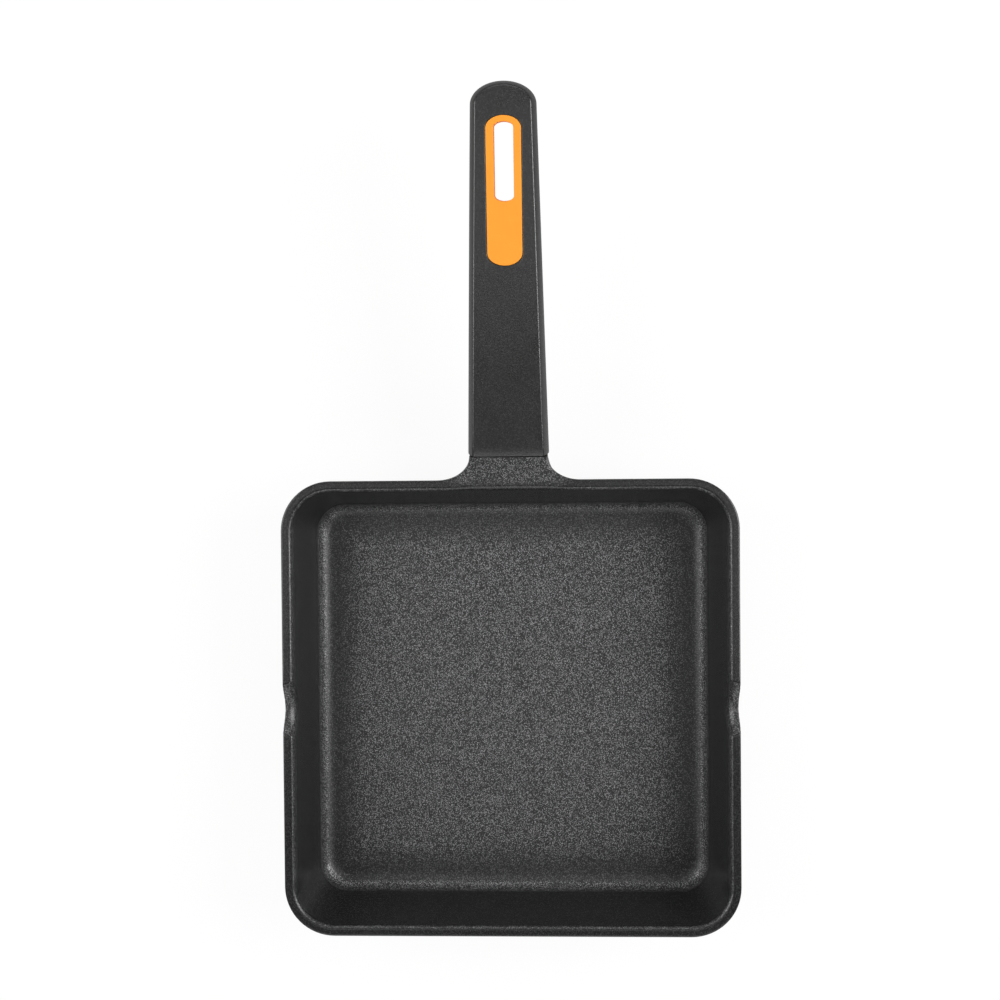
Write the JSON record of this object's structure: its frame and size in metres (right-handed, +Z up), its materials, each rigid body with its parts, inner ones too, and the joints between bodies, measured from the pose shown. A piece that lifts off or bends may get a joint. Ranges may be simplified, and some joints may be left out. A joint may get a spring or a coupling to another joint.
{
  "type": "square frying pan",
  "caption": "Square cast pan with flared walls, a smooth non-stick floor, a pouring dip on each side and a rising fixed handle with an inlaid hanging slot.",
  "frame": {"origin": "middle of the base, on the surface that the pan stands on", "axes": "+Z up, +Y from the middle of the tray towards the handle, +X to the right seen from above with the handle pointing away"},
  "size_m": [0.222, 0.4057, 0.0827],
  "materials": {
    "coated_aluminium": "dark grey speckled non-stick coating on cast aluminium",
    "disc_steel": "turned stainless steel",
    "grip_black": "matt black, finely grained",
    "inlay_orange": "satin orange",
    "fastener_steel": "zinc-plated steel"
  },
  "bodies": {
    "root": {"pan_body": "coated_aluminium", "induction_disc": "disc_steel", "handle_grip": "grip_black", "hanging_inlay": "inlay_orange", "handle_screw": "fastener_steel", "spring_washer": "fastener_steel"}
  },
  "joints": []
}
